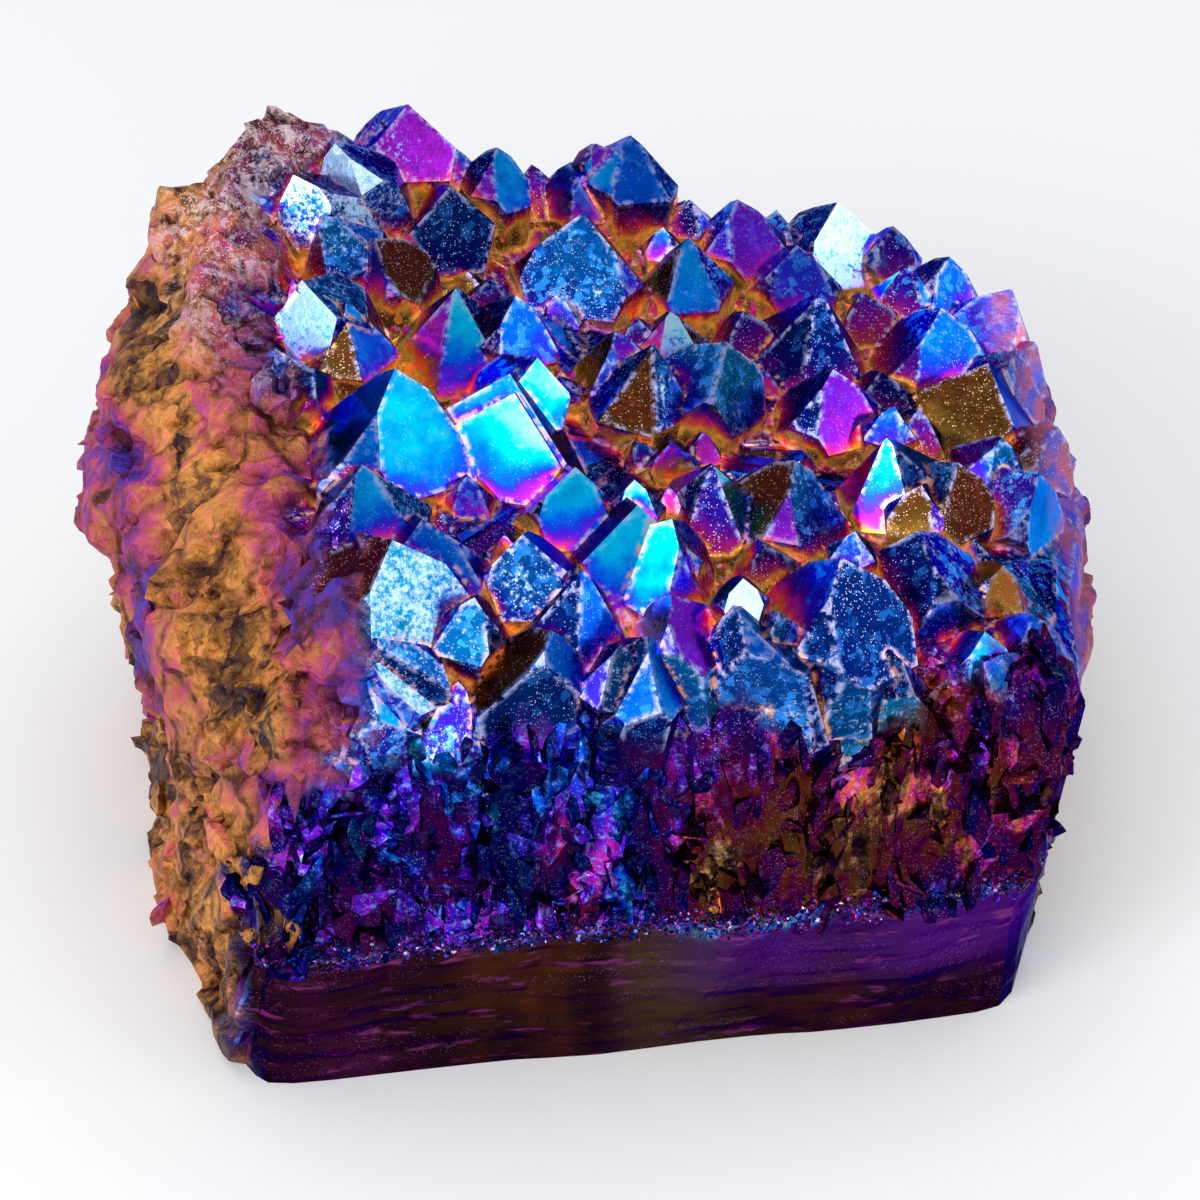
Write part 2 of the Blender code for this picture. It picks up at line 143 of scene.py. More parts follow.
class Shader(Nodes):
    def __init__(self, name):
        self.material = bpy.data.materials.new(name)
        self.material.use_nodes = True
        self.tree = self.material.node_tree
        self.surface = self.tree.nodes["Principled BSDF"]

    def set(self, **values):
        for name, value in values.items():
            self.plug(self.surface.inputs[name.replace("_", " ")], value)

    def attribute(self, name):
        return self.node("ShaderNodeAttribute", {"attribute_name": name}, output="Fac")

    def place(self):
        return self.node("ShaderNodeTexCoord", output="Object")

    def stretched(self, place, scale, turn=(0, 0, 0)):
        return self.node("ShaderNodeMapping", None, {"Vector": place, "Scale": scale, "Rotation": turn})

    def grain(self, place, scale, detail=4.0, roughness=0.55):
        inputs = {"Vector": place, "Scale": scale, "Detail": detail, "Roughness": roughness}
        return self.node("ShaderNodeTexNoise", None, inputs)

    def cells(self, place, scale, feature="F1", output="Distance"):
        inputs = {"Vector": place, "Scale": scale}
        return self.node("ShaderNodeTexVoronoi", {"feature": feature}, inputs, output)

    def tilted(self, place, scale):  # a height that gives every cell a slope of its own
        cell = self.cells(place, scale, output="Color")
        own = self.vector("SUBTRACT", cell, (0.5, 0.5, 0.5))
        centre = Value(self, cell.socket.node.outputs["Position"])
        return self.vector("DOT_PRODUCT", own, self.vector("SUBTRACT", place, centre), "Value") * scale

    def vector(self, operation, first, second, output="Vector"):
        second = {"Scale": second} if operation == "SCALE" else {1: second}
        return self.node("ShaderNodeVectorMath", {"operation": operation}, {0: first, **second}, output)

    def blend(self, how, factor, first, second):
        inputs = {0: factor, 6: first, 7: second}
        return self.node("ShaderNodeMix", {"data_type": "RGBA", "blend_type": how}, inputs, 2)

    def mix(self, factor, first, second):
        return self.blend("MIX", factor, first, second)

    def ramp(self, factor, stops):
        return self.node("ShaderNodeValToRGB", {"stops": stops}, {"Fac": factor})

    def noiseVector(self, place, scale):  # -0.5 to 0.5 along each axis
        inputs = {"Vector": place, "Scale": scale, "Detail": 3.0}
        colour = self.node("ShaderNodeTexNoise", None, inputs, "Color")
        return self.vector("SUBTRACT", colour, (0.5, 0.5, 0.5))

    def shaded(self, coat, light, shadow):  # tinted with the shadow's colour where light is low
        return self.blend("MULTIPLY", 1.0, coat, self.mix(light, shadow, white))

    def red(self, colour):
        return self.node("ShaderNodeSeparateColor", None, {"Color": colour}, "Red")

    def bump(self, height, strength, distance):
        inputs = {"Strength": strength, "Distance": distance, "Height": height}
        return self.node("ShaderNodeBump", None, inputs)


class Growth(Nodes):  # geometry nodes that grow loose pieces on a surface
    def __init__(self, name):
        self.tree = bpy.data.node_groups.new(name, "GeometryNodeTree")
        for way in ("INPUT", "OUTPUT"):
            self.tree.interface.new_socket(name="Geometry", in_out=way, socket_type="NodeSocketGeometry")
        self.entry = self.tree.nodes.new("NodeGroupInput")
        self.exit = self.tree.nodes.new("NodeGroupOutput")
        self.sizes = {}

    def size(self, name, value):
        kind = {tuple: "NodeSocketVector", int: "NodeSocketInt"}.get(type(value), "NodeSocketFloat")
        socket = self.tree.interface.new_socket(name=name, in_out="INPUT", socket_type=kind)
        self.sizes[socket.identifier] = value
        return Value(self, self.entry.outputs[name])

    def attribute(self, name):
        return self.node("GeometryNodeInputNamedAttribute", {"data_type": "FLOAT"}, {"Name": name})

    def random(self, kind, low, high, seed):
        first = {"FLOAT_VECTOR": 0, "FLOAT": 2, "INT": 4}[kind]
        output = {"FLOAT_VECTOR": 0, "FLOAT": 1, "INT": 2}[kind]
        inputs = {first: low, first + 1: high, "Seed": seed}
        return self.node("FunctionNodeRandomValue", {"data_type": kind}, inputs, output)

    def aligned(self, rotation, axis, vector, pivot="AUTO", factor=1.0):
        settings = {"axis": axis, "pivot_axis": pivot}
        inputs = {"Rotation": rotation, "Vector": vector, "Factor": factor}
        return self.node("FunctionNodeAlignRotationToVector", settings, inputs)


def smooth(values, low, high):
    t = np.clip((values - low) / (high - low), 0, 1)
    return t * t * (3 - 2 * t)


# where the block changes from points to broken front, band and rough walls, in mm of the frame
zones = {
    "bandTop": 17.5,
    "bandEdge": -30,  # y in front of which the band lies
    "bandLeft": -38,  # x of its left end
    "frontEdge": -31,  # y in front of which the broken front lies
    "frontTop": 44,  # its middle height, where the points begin
    "leftEdgeAt": [-38, -28, -15, 0, 12, 26, 38],  # y of the crystals' left edge, front to back
    "leftEdge": [-26, -26, -28, -30, -31, -29, -22],  # x of it
    "leftEdgeLow": -37,  # x of it near the band, on the broken front
    "backEdge": 36,
    "backTop": 60,
    "rightEdge": 45,
    "rightTop": 38,
    "lowTop": 27,  # behind the front, everything lower is rock
    "crustFrom": 57,  # height at which the pale crust on the ridge begins
    "warmFrom": -4,  # x from which the broken front turns from blue to brown
    "knob": (-41, 37, 54),  # a violet lump on the brow of the left wall
    "goldNest": (36.5, -17.5),  # x and y of the golden hollow among the points
    "oliveAt": 4,  # x of the olive patch on the band
}

skinPlan = {
    "longestEdge": 1.2,  # mm between neighbouring vertices of the finished skin
    "wallEdge": 1.1,
    "coarseEdge": 2.6,  # the same underneath and at the back
    "flatArea": 9.0,  # mm2, a facet larger than this is a crystal's own face
    "crystalSharp": 4.0,  # degrees, an edge that turns more than this stays crisp
    "brokenSharp": 28,
    "rockSharp": 32.0,
    "blockHeight": 1.9,
    "chipHeight": 0.7,
    "splinterHeight": 1.2,
    "deepest": -1.8,
    "highest": 1.4,
}


def mergedCopy():
    source = frame["nodes"]["quartz_cluster"]
    skin = bmesh.new()
    skin.from_mesh(source.data)
    bmesh.ops.remove_doubles(skin, verts=skin.verts, dist=0.002 * mm)
    bmesh.ops.dissolve_limit(skin, angle_limit=math.radians(0.5), verts=skin.verts, edges=skin.edges)
    bmesh.ops.triangulate(skin, faces=skin.faces)
    return skin


def numberFacets(skin):  # every flat facet gets a number, kept on its faces when they are divided
    layer = skin.faces.layers.int.new("facet")
    unseen = set(skin.faces)
    facets = []
    for first in list(skin.faces):
        if first not in unseen:
            continue
        unseen.remove(first)
        facet = [first]
        for face in facet:
            for edge in face.edges:
                for other in edge.link_faces:
                    if other in unseen and face.normal.dot(other.normal) > 0.9997:
                        unseen.remove(other)
                        facet.append(other)
        area = sum(face.calc_area() for face in facet)
        middle = sum((face.calc_center_median() * face.calc_area() for face in facet), Vector()) / area
        top = max((vert.co for face in facet for vert in face.verts), key=lambda co: co.z)
        for face in facet:
            face[layer] = len(facets)
        facets.append({
            "area": area / mm**2,
            "middle": middle / mm,
            "top": top / mm,
            "normal": facet[0].normal.copy(),
        })
    return facets


def divide(skin):
    for _ in range(7):
        long = []
        for edge in skin.edges:
            middle = (edge.verts[0].co + edge.verts[1].co) / 2 / mm
            limit = skinPlan["longestEdge"]
            if middle.z < 1 or middle.y > 36:
                limit = skinPlan["coarseEdge"]
            elif middle.x < -30:
                limit = skinPlan["wallEdge"]
            if edge.calc_length() > limit * mm:
                long.append(edge)
        if not long:
            break
        bmesh.ops.subdivide_edges(skin, edges=long, cuts=1)
        spare = [face for face in skin.faces if len(face.verts) > 3]
        bmesh.ops.triangulate(skin, faces=spare)


def zoneMasks(points):  # points in mm, one mask of 0 to 1 for each zone
    x, y, z = points.T
    bandTop = zones["bandTop"]
    ragged = np.array([noise.fractal(Vector(point) * 0.22, 1.0, 2.0, 3) for point in points])
    leftEdge = np.interp(y, zones["leftEdgeAt"], zones["leftEdge"])
    high = np.maximum(smooth(z, 28, 46), smooth(y, -30, -22))
    leftEdge = zones["leftEdgeLow"] + (leftEdge - zones["leftEdgeLow"]) * high
    outward = leftEdge - x  # mm from the crystals into the left wall
    left = smooth(outward + ragged * 5, -1.0, 1.6)
    back = smooth(y, zones["backEdge"], zones["backEdge"] + 3) * smooth(zones["backTop"] - z + 0.1 * x, 0, 8)
    right = smooth(x, zones["rightEdge"], zones["rightEdge"] + 3) * smooth(zones["rightTop"] - z, -2, 3)
    front = smooth(zones["frontEdge"] - y, 0, 2) * smooth(z, bandTop - 0.5, bandTop + 1.5)
    border = np.array([noise.noise(Vector((point[0] * 0.09, 3.7, 0.0))) for point in points])
    front *= smooth(zones["frontTop"] + border * 11 - z + ragged * 3, -1.5, 1.5) * (1 - left)
    band = smooth(zones["bandEdge"] - y, 0, 3) * (1 - smooth(z + ragged * 1.6, bandTop - 0.5, bandTop + 0.5))
    band *= 1 - smooth(zones["bandLeft"] - x, 0, 3)
    low = smooth(zones["lowTop"] - z, -2, 3) * smooth(y, -31, -28)
    rocky = np.maximum(np.maximum(left, back), np.maximum(right * 0.85, low)) * (1 - band)
    return {
        "rocky": rocky,
        "front": front,
        "band": band,
        "violet": violetMask(points, outward),
        "crust": smooth(z, zones["crustFrom"], zones["crustFrom"] + 8) * smooth(12 - outward, -3, 3),
        "frostAt": smooth(-17 - x, -3, 3) * smooth(y, 14, 22),
    }


def violetMask(points, outward):  # violet rock next to the crystals, on the brow and on the right side
    x, y, z = points.T
    knob = np.linalg.norm(points - np.array(zones["knob"]), axis=1)
    patches = [
        smooth(9 - outward, -3, 5) * smooth(z, 22, 36) * 1.1,
        smooth(-43 - x, -3, 3) * smooth(z, 24, 34) * smooth(56 - z, 0, 6) * 0.9,
        smooth(z, 58, 66) * 0.7,
        1.3 - smooth(knob, 3, 8) * 1.3,
        smooth(x, 44, 48) * smooth(z, 16, 24) * 0.9,
    ]
    return np.max(patches, axis=0) * (0.15 + 0.85 * smooth(z, 12, 32))


def blocks(place, seed):  # an angular pattern: every cell is a flat with its own height and slope
    centre = noise.voronoi(place)[1][0]
    own = noise.cell_vector(centre * 7.3 + Vector((seed, 0, 0)))
    tilt = own - Vector((0.5, 0.5, 0.5))
    return tilt.z + 1.6 * (place - centre).dot(tilt), own.x


def rockRelief(point):  # slanting flakes of the rough walls
    along = -0.57 * point.y + 0.82 * point.z
    across = 0.82 * point.y + 0.57 * point.z
    place = Vector((point.x * 0.10, across * 0.15, along * 0.065))
    bend = noise.noise_vector(place * 1.3) * 0.3
    block, tone = blocks(place + bend, 3)
    chip, _ = blocks(place * 2.6 + bend, 8)
    grit = noise.fractal(point * 0.45, 1.0, 2.0, 3)
    return block * skinPlan["blockHeight"] + chip * skinPlan["chipHeight"] + grit * 0.30, tone


def splinterRelief(point):  # upright broken prisms of the front
    place = Vector((point.x * 0.30, point.y * 0.3, point.z * 0.11))
    bend = noise.noise_vector(place * 1.7) * 0.25
    block, tone = blocks(place + bend, 5)
    chip, _ = blocks(place * 2.3 + bend, 6)
    return block * skinPlan["splinterHeight"] + chip * skinPlan["chipHeight"], tone


def roughen(skin, facets):
    skin.normal_update()
    layer = skin.faces.layers.int["facet"]
    verts = list(skin.verts)
    points = np.array([vert.co for vert in verts]) / mm
    masks = zoneMasks(points)
    raised = np.zeros(len(verts))
    blockTones = np.zeros(len(verts))
    for i, vert in enumerate(verts):
        point = Vector(points[i])
        rocky = masks["rocky"][i]
        broken = masks["front"][i]
        largest = max(facets[face[layer]]["area"] for face in vert.link_faces)
        if largest > skinPlan["flatArea"]:
            broken = 0.0
        if rocky > 0.01:
            height, blockTones[i] = rockRelief(point)
            raised[i] += rocky * height
        if broken > 0.01:
            height, blockTones[i] = splinterRelief(point)
            raised[i] += broken * height
        if masks["band"][i] > 0.01:
            raised[i] += noise.fractal(Vector((point.x * 0.10, 0, point.z * 0.5)), 1.0, 2.0, 3) * 0.25
    lift = np.clip(raised, skinPlan["deepest"], skinPlan["highest"])
    for vert, amount, height in zip(verts, lift, points[:, 2]):
        if height > 0.2:
            vert.co += vert.normal * float(amount) * mm
            vert.co.z = max(vert.co.z, 0.0)
    masks["raised"] = raised
    masks["blockTone"] = blockTones
    return masks


def openness(skin, reach=14.0, rays=24):  # how much of the sky a vertex sees, 0 to 1
    tree = BVHTree.FromBMesh(skin)
    golden = math.pi * (3 - math.sqrt(5))
    ways = []
    for i in range(rays):
        up = math.sqrt(1 - (i + 0.5) / rays)
        out = math.sqrt(1 - up * up)
        ways.append((out * math.cos(golden * i), out * math.sin(golden * i), up))
    seen = np.zeros(len(skin.verts))
    for i, vert in enumerate(skin.verts):
        normal = vert.normal
        side = normal.orthogonal().normalized()
        other = normal.cross(side)
        start = vert.co + normal * 0.15 * mm
        free = 0.0
        for a, b, c in ways:
            hit = tree.ray_cast(start, side * a + other * b + normal * c, reach * mm)
            free += 1.0 if hit[0] is None else hit[3] / (reach * mm) * 0.3
        seen[i] = free / rays
    return seen


def markEdges(skin, facets, masks):  # crisp crystal edges, and mm from each vertex to the nearest one
    layer = skin.faces.layers.int["facet"]
    skin.verts.index_update()
    rocky, front, band = masks["rocky"], masks["front"], masks["band"]
    ridge = np.full(len(skin.verts), 3.0)
    seam = np.full(len(skin.verts), 3.0)
    for edge in skin.edges:
        if len(edge.link_faces) != 2:
            continue
        angle = math.degrees(edge.calc_face_angle(0.0))
        ends = [vert.index for vert in edge.verts]
        wild = max(max(rocky[i], front[i] * 0.9, band[i]) for i in ends) > 0.5
        one, two = (face[layer] for face in edge.link_faces)
        if front[ends[0]] > 0.5 and min(facets[one]["area"], facets[two]["area"]) > skinPlan["flatArea"]:
            wild = False
        limit = skinPlan["brokenSharp"] if wild or one == two else skinPlan["crystalSharp"]
        if max(rocky[i] for i in ends) > 0.5:
            limit = skinPlan["rockSharp"]
        edge.smooth = angle < limit
        if angle > 12 and not wild and one != two:
            target = ridge if edge.is_convex else seam
            target[ends] = 0.0
    points = np.array([vert.co for vert in skin.verts]) / mm
    pairs = np.array([[vert.index for vert in edge.verts] for edge in skin.edges])
    lengths = np.linalg.norm(points[pairs[:, 0]] - points[pairs[:, 1]], axis=1)
    for distance in (ridge, seam):
        for _ in range(4):
            for a, b in ((0, 1), (1, 0)):
                reached = distance[pairs[:, a]] + lengths
                np.minimum.at(distance, pairs[:, b], reached)
    return ridge, seam


# the colours a facet can have: the film's thickness from 0 gold to 1 pale cyan, brightness, how much it
# sparkles and how pale it is; the brightness is partly the coat's own depth of colour and partly painted
# reflection
tones = {
    # white is painted glare: a facet that mirrors the light, painted near white, with a little frost
    "white": (0.96, 1.00, 0.1, 0.30),
    "cyan": (0.90, 1.00, 0.0, 0.0),
    "azure": (0.80, 0.85, 0.1, 0.0),
    "royal": (0.71, 0.65, 0.3, 0.0),
    "sparkBlue": (0.77, 0.30, 1.0, 0.08),
    "frosted": (0.86, 0.55, 1.0, 0.22),
    "teal": (0.84, 0.22, 0.9, 0.07),
    "slate": (0.76, 0.16, 0.9, 0.09),
    "navy": (0.67, 0.08, 1.0, 0.0),
    "purple": (0.52, 0.25, 0.9, 0.0),
    "violet": (0.58, 0.65, 0.4, 0.0),
    "lavender": (0.56, 0.50, 1.0, 0.12),
    "magenta": (0.45, 0.80, 0.2, 0.0),
    "pink": (0.39, 0.90, 0.2, 0.05),
    "gold": (0.13, 0.50, 0.8, 0.0),
    "brown": (0.15, 0.065, 0.8, 0.0),
}

# how often each turns up among the facets that aren't named below
toneMix = {
    "navy": 30, "slate": 7, "teal": 6, "sparkBlue": 10, "azure": 7, "royal": 9, "violet": 8,
    "purple": 13, "magenta": 3, "brown": 5, "lavender": 4, "cyan": 1,
}

tipsFrom = (0.25, -2.83)  # mm, the middle that the places below are measured from

# facets that stand out: x and y of the crystal's tip in mm, then each facet by the way it faces in
# degrees from -Y towards +X; the brightness of the white and cyan ones is partly painted reflection
standouts = [
    (-19, 37.5, {-52: "magenta", 8: "violet"}), (-15.5, 38, {34: "pink"}),
    (-12, 29, {22: "navy", 72: "slate", -108: "purple"}), (-7, 34.5, {-15: "magenta"}),
    (-6.5, 36, {51: "azure"}), (1.5, 38, {-55: "royal", 10: "violet"}),
    (4.5, 39.5, {20: "magenta", -40: "azure"}), (8, 38.5, {-52: "azure", 17: "royal", 77: "slate"}),
    (19, 34, {-39: "violet", 28: "magenta"}), (30.5, 36.5, {39: "white", -105: "slate"}),
    (36.5, 35, {19: "purple"}), (41.5, 29, {34: "royal", -110: "navy"}), (37, 27.5, {-29: "purple"}),
    (47.5, 24.5, {-25: "violet", 87: "brown"}), (-23.5, 31, {-45: "frosted", 12: "frosted", 97: "purple"}),
    (-28, 26, {-27: "sparkBlue"}), (-25.5, 21.5, {5: "sparkBlue", -98: "azure"}),
    (-20.5, 19.5, {-55: "royal", 10: "violet", 70: "brown"}), (1.5, 27, {-12: "sparkBlue"}),
    (12.5, 26, {5: "azure", -59: "brown", 67: "lavender"}), (10.5, 30.5, {-21: "azure"}),
    (24.5, 28, {9: "violet"}), (25, 17, {-105: "purple", 33: "navy", 87: "violet"}),
    (38, 17, {-104: "purple", -38: "purple", 26: "royal"}), (45, 12, {45: "slate"}),
    (41, 8, {-38: "brown", 84: "azure"}), (-28, 9.5, {-40: "white", 90: "slate"}),
    (-24, 7.5, {52: "azure", 7: "brown"}),
    (-13, 11, {14: "cyan", -48: "magenta", 74: "navy", -110: "violet"}),
    (-7, 11.5, {42: "royal"}), (2.5, 8.5, {-88: "brown", 45: "violet", -20: "royal"}),
    (9, 14.5, {11: "white", -53: "pink"}), (6, 5, {-10: "brown", -82: "navy", 49: "slate"}),
    (13.5, 6.5, {53: "teal"}), (24, 4, {-39: "navy", -104: "navy", 24: "magenta"}),
    (-20, -3.5, {-95: "royal", 48: "azure"}),
    (-9, -2.5, {-14: "azure", -145: "azure", -95: "cyan"}),
    (-8.8, -4.5, {-14: "cyan"}), (-6, 1, {43: "cyan"}), (29.5, -0.5, {-28: "royal", 22: "lavender"}),
    (32, 0, {15: "lavender"}), (6.5, -4.5, {0: "magenta"}), (5, -13.5, {-10: "magenta"}),
    (9, -13.5, {57: "cyan", 0: "purple"}), (17, -13, {-4: "magenta", 55: "sparkBlue", -72: "brown"}),
    (27, -8.5, {-38: "azure", -92: "pink", 26: "navy"}), (39.5, -5, {20: "teal"}),
    (42.5, -9, {-54: "lavender", 55: "azure"}), (33.5, -11.5, {41: "brown", -30: "brown"}),
    (29.5, -13.5, {-30: "brown"}), (-4, -13.5, {4: "navy", 60: "lavender"}), (1.5, -14.5, {-2: "cyan"}),
    (-24, -15.5, {11: "azure", -50: "purple", 73: "slate"}), (-19, -22, {10: "royal", 70: "violet"}),
    (-22, -26, {34: "frosted", -84: "brown", -15: "teal"}),
    (-24, -32.5, {34: "sparkBlue", -26: "slate"}), (-10, -23.5, {-18: "slate", 48: "violet"}),
    (1, -20.5, {5: "cyan", -120: "navy"}), (4, -22, {-33: "cyan", 26: "violet", 79: "lavender"}),
    (21.5, -21.5, {-27: "royal"}), (27.5, -21.5, {-52: "navy", 90: "lavender"}),
    (36, -22, {-110: "gold", 81: "gold", 21: "gold"}), (19, -27, {-91: "violet", -34: "navy"}),
    (9.5, -29.5, {0: "white"}), (3, -29, {-88: "white", 45: "magenta", -18: "violet"}),
    (-5, -27, {-18: "navy", 41: "royal"}), (-8.5, -32.5, {-75: "brown", 48: "royal"}),
    (-2.2, -33, {13: "slate"}), (0.5, -33, {49: "azure", -5: "royal"}),
    (8.5, -31.5, {-49: "navy", 8: "royal"}), (12.5, -31.5, {44: "slate", 81: "teal", -11: "navy"}),
    (23, -32.5, {3: "navy", 60: "purple", -42: "gold"}),
    (32.4, -30.5, {-105: "azure", 26: "azure", -34: "purple"}), (33.3, -33, {-56: "azure", 29: "azure"}),
    (37.5, -28, {68: "sparkBlue", 29: "royal"}),
]


def namedFacets(facets, x, y, facing):  # the facets of the crystal at (x, y) that face this way
    best, bestScore = None, 1e9
    for facet in facets:
        if facet["area"] < 1.5 or facet["normal"].z < 0.15:
            continue
        apart = math.hypot(facet["top"].x - x, facet["top"].y - y)
        way = math.degrees(math.atan2(facet["normal"].x, -facet["normal"].y))
        turned = abs((way - facing + 180) % 360 - 180)
        score = apart * 8 + turned - min(facet["area"], 30) * 0.3
        if apart < 4.5 and turned < 28 and score < bestScore:
            best, bestScore = facet, score
    if best is None:
        return []
    same = []  # another crystal may part a facet in two
    for i, facet in enumerate(facets):
        step = facet["middle"] - best["middle"]
        level = abs(step.dot(best["normal"])) < 0.2
        if level and step.length < 14 and facet["normal"].dot(best["normal"]) > 0.998:
            same.append(i)
    return same


def facetTones(facets):  # film, brightness (partly painted reflection), sparkle and paleness of every facet
    draw = random.Random(5)
    names = list(toneMix)
    chances = [toneMix[name] for name in names]
    chosen = []
    for facet in facets:
        film, bright, sparkle, pale = tones[draw.choices(names, chances)[0]]
        film += draw.uniform(-0.05, 0.05)
        bright *= draw.uniform(0.7, 1.2)
        chosen.append([film, bright, sparkle, pale])
    missed = 0
    for x, y, faces in standouts:
        for facing, name in faces.items():
            found = namedFacets(facets, x + tipsFrom[0], y + tipsFrom[1], facing)
            missed += not found
            for i in found:
                chosen[i] = list(tones[name])
    print("standout facets not found", missed)
    return np.array(chosen).T


def addValues(mesh, name, domain, values):
    layer = mesh.attributes.new(name, "FLOAT", domain)
    layer.data.foreach_set("value", np.asarray(values, dtype=np.float32))


def tintMasks(points, masks):  # where loose pieces grow, and where the coats change their colours
    x, y, z = points.T
    seen, rocky, front = masks["openness"], masks["rocky"], masks["front"]
    groove = 1 - smooth(seen, 0.14, 0.34)
    bandRim = 1 - smooth(np.abs(z - zones["bandTop"] - 1.0), 0.8, 2.4)
    away = np.hypot(x - zones["goldNest"][0], y - zones["goldNest"][1])
    return {
        "flakeAt": rocky * smooth(z, 4, 8) * smooth(40 - y, 0, 3) * (1 - masks["violet"] * 0.3),
        "splinterAt": front,
        "druseAt": (1 - rocky) * (1 - front) * smooth(z, 24, 30) * groove,
        "gritAt": smooth(zones["bandEdge"] - y, 0, 1) * bandRim * (1 - smooth(-36 - x, 0, 3)),
        "warm": smooth(x, zones["warmFrom"], zones["warmFrom"] + 18),
        "upperBand": smooth(x, -2, 14) * smooth(z, 5, 12),
        "olive": 1 - smooth(np.abs(x - zones["oliveAt"]), 3, 9),
        "upperFront": smooth(z, 26, 44),
        "lilac": smooth(x, 43, 47) * smooth(z, 16, 24),
        "nest": (1 - smooth(away, 4.0, 8.0)) * (1 - smooth(seen, 0.45, 0.75)),
    }


def makeCluster():
    skin = mergedCopy()
    facets = numberFacets(skin)
    print("facets", len(facets))
    divide(skin)
    print("skin triangles", len(skin.faces))
    masks = roughen(skin, facets)
    skin.normal_update()
    masks["openness"] = openness(skin)
    masks["ridge"], masks["seam"] = markEdges(skin, facets, masks)
    mesh = bpy.data.meshes.new("quartzCluster")
    skin.to_mesh(mesh)
    skin.free()
    points = np.empty(len(mesh.vertices) * 3)
    mesh.vertices.foreach_get("co", points)
    masks.update(tintMasks(points.reshape(-1, 3) / mm, masks))
    for name, values in masks.items():
        addValues(mesh, name, "POINT", values)
    numbers = np.empty(len(mesh.polygons), dtype=np.int32)
    mesh.attributes["facet"].data.foreach_get("value", numbers)
    names = ("facetFilm", "facetShade", "facetSparkle", "facetPale")
    for name, values in zip(names, facetTones(facets)):
        addValues(mesh, name, "FACE", values[numbers])
    addValues(mesh, "faceTone", "FACE", (numbers * 0.618) % 1.0)
    cluster = bpy.data.objects.new("quartzCluster", mesh)
    bpy.context.scene.collection.objects.link(cluster)
    return cluster


def chunk(draw, half, corners=13):  # an angular splinter of stone, about half * 2 in size
    made = bmesh.new()
    for _ in range(corners):
        way = Vector([draw.gauss(0, 1) for _ in range(3)]).normalized()
        made.verts.new(Vector([a * b for a, b in zip(way, half)]))
    bmesh.ops.convex_hull(made, input=made.verts[:])
    bmesh.ops.delete(made, geom=[v for v in made.verts if not v.link_faces], context="VERTS")
    bmesh.ops.recalc_face_normals(made, faces=made.faces)
    return made


def tinyPoint(draw, half):  # a small quartz point standing on its root
    made = bmesh.new()
    foot, shoulder = [], []
    for side in range(6):
        turn = math.radians(60 * side)
        reach = half[0] * draw.uniform(0.85, 1.1)
        x, y = reach * math.cos(turn), reach * math.sin(turn)
        foot.append(made.verts.new((x, y, -half[2])))
        shoulder.append(made.verts.new((x, y, half[2] * draw.uniform(-0.05, 0.1))))
    tip = made.verts.new((draw.uniform(-0.2, 0.2) * half[0], draw.uniform(-0.2, 0.2) * half[0], half[2]))
    made.faces.new(reversed(foot))
    for i in range(6):
        j = (i + 1) % 6
        made.faces.new((foot[i], foot[j], shoulder[j], shoulder[i]))
        made.faces.new((shoulder[i], shoulder[j], tip))
    return made


def kindsOf(name, plan):  # a hidden collection of different pieces to grow
    draw = random.Random(plan["seed"])
    made = bpy.data.collections.new(name + "Kinds")
    half = Vector(plan["half"]) * mm
    for i in range(plan["kinds"]):
        shape = tinyPoint(draw, half) if plan["points"] else chunk(draw, half)
        mesh = bpy.data.meshes.new("%s%d" % (name, i))
        shape.to_mesh(mesh)
        shape.free()
        addValues(mesh, "faceTone", "FACE", [draw.random() for _ in mesh.polygons])
        made.objects.link(bpy.data.objects.new("%s%d" % (name, i), mesh))
    return made


